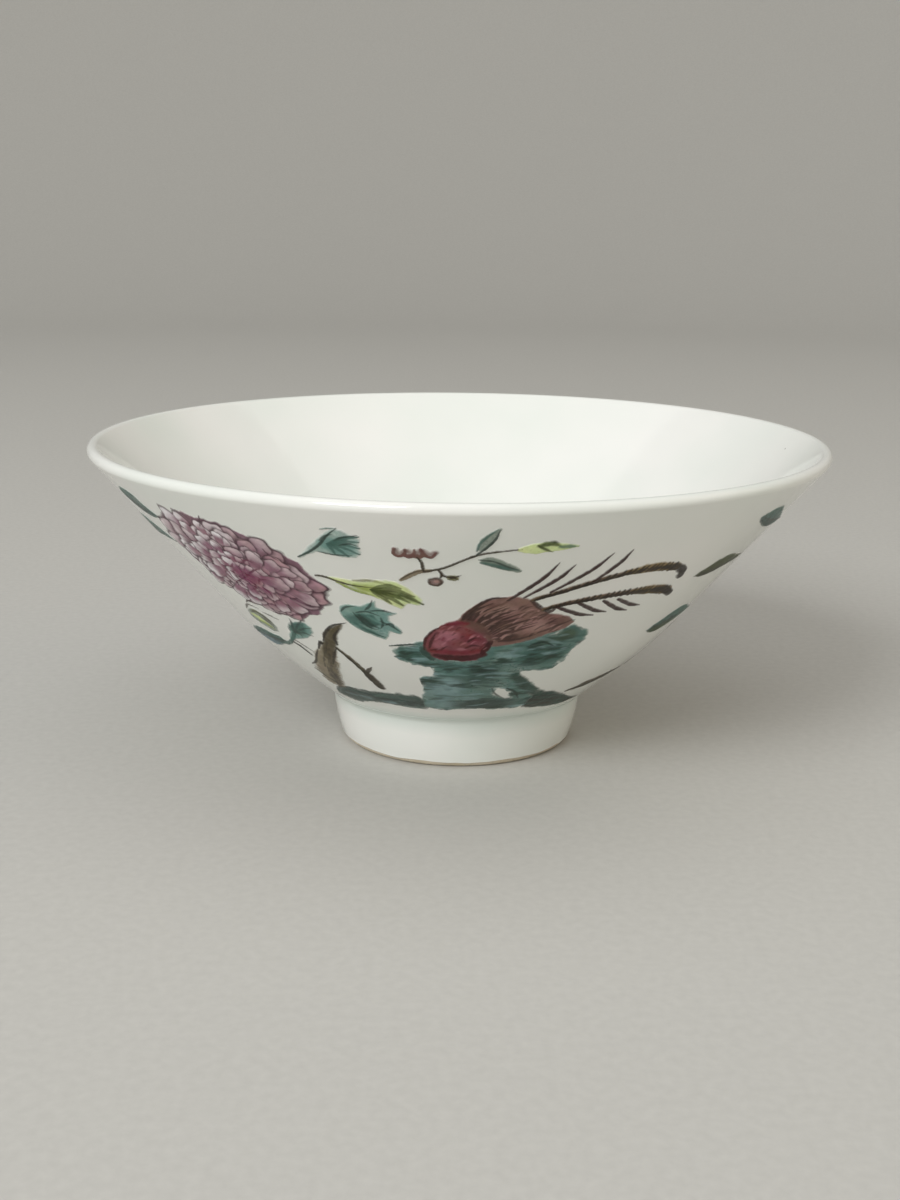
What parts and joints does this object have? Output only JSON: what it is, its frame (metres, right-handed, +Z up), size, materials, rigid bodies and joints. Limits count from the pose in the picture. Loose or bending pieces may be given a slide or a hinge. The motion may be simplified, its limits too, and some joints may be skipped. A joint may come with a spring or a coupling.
{
  "type": "conical tea bowl",
  "caption": "Small conical porcelain tea bowl on a turned foot ring, painted outside with raised enamel flowers, rock and pheasant; no cover or saucer.",
  "frame": {"origin": "on the bowl's axis, in the plane that the foot rests on", "axes": "+Z up along the axis, -Y towards the side that shows the rock and the pheasant, +X to that viewer's right"},
  "size_m": [0.105, 0.105, 0.0445],
  "materials": {
    "porcelain_glaze": "clear glossy glaze on white porcelain, faint green-white cast",
    "biscuit": "unglazed fired porcelain, warm grey-buff, slightly gritty",
    "pink_enamel": "raised opaque pink enamel, glossy, darker at the petals' feet",
    "teal_enamel": "translucent blue-green enamel over dark veins, glossy",
    "lime_enamel": "translucent yellow-green enamel, glossy",
    "dark_leaf_enamel": "dark olive-green enamel, glossy",
    "bark_enamel": "thin grey-brown enamel, glossy",
    "ground_enamel": "grey-green wash enamel, glossy",
    "rock_enamel": "teal wash enamel with dark strokes, glossy",
    "crimson_enamel": "crimson enamel, glossy",
    "plumage_enamel": "purple-brown enamel with fine dark feather lines, glossy",
    "feather_enamel": "dark brown line enamel, glossy",
    "blue_enamel": "thin grey-blue enamel, glossy"
  },
  "bodies": {
    "root": {"bowl_wall": "porcelain_glaze", "foot_ring": "porcelain_glaze", "foot_rim": "biscuit", "peony_bloom": "pink_enamel", "branch_bloom": "pink_enamel", "peony_leaf_top": "teal_enamel", "peony_leaf_low": "teal_enamel", "peony_leaf_under": "teal_enamel", "peony_bract": "teal_enamel", "peony_leaf_long": "teal_enamel", "side_leaf_upper": "teal_enamel", "side_leaf_lower": "teal_enamel", "sprig_leaf_upper": "teal_enamel", "sprig_leaf_lower": "teal_enamel", "peony_leaf_lime": "lime_enamel", "sprig_leaf_tip": "lime_enamel", "branch_leaf_1": "dark_leaf_enamel", "branch_leaf_2": "dark_leaf_enamel", "branch_leaf_3": "dark_leaf_enamel", "branch_leaf_4": "dark_leaf_enamel", "branch_leaf_5": "dark_leaf_enamel", "tree_trunk": "bark_enamel", "tree_twig": "bark_enamel", "tree_shoot": "bark_enamel", "ground_root": "bark_enamel", "branch_stem": "bark_enamel", "sprig_stem": "bark_enamel", "sprig_flower": "bark_enamel", "sprig_berry": "bark_enamel", "sprig_bud": "bark_enamel", "butterfly_body": "bark_enamel", "ground_left": "ground_enamel", "ground_right": "ground_enamel", "garden_rock": "rock_enamel", "pheasant_breast": "crimson_enamel", "pheasant_body": "plumage_enamel", "tail_feather_upper": "feather_enamel", "tail_feather_lower": "feather_enamel", "tail_plume_1": "feather_enamel", "tail_plume_2": "feather_enamel", "tail_plume_3": "feather_enamel", "tail_plume_4": "feather_enamel", "tail_plume_5": "feather_enamel", "tail_plume_6": "feather_enamel", "tail_plume_7": "feather_enamel", "tail_plume_8": "feather_enamel", "butterfly_wing_1": "blue_enamel", "butterfly_wing_2": "blue_enamel", "butterfly_wing_3": "blue_enamel", "butterfly_wing_4": "blue_enamel"}
  },
  "joints": []
}
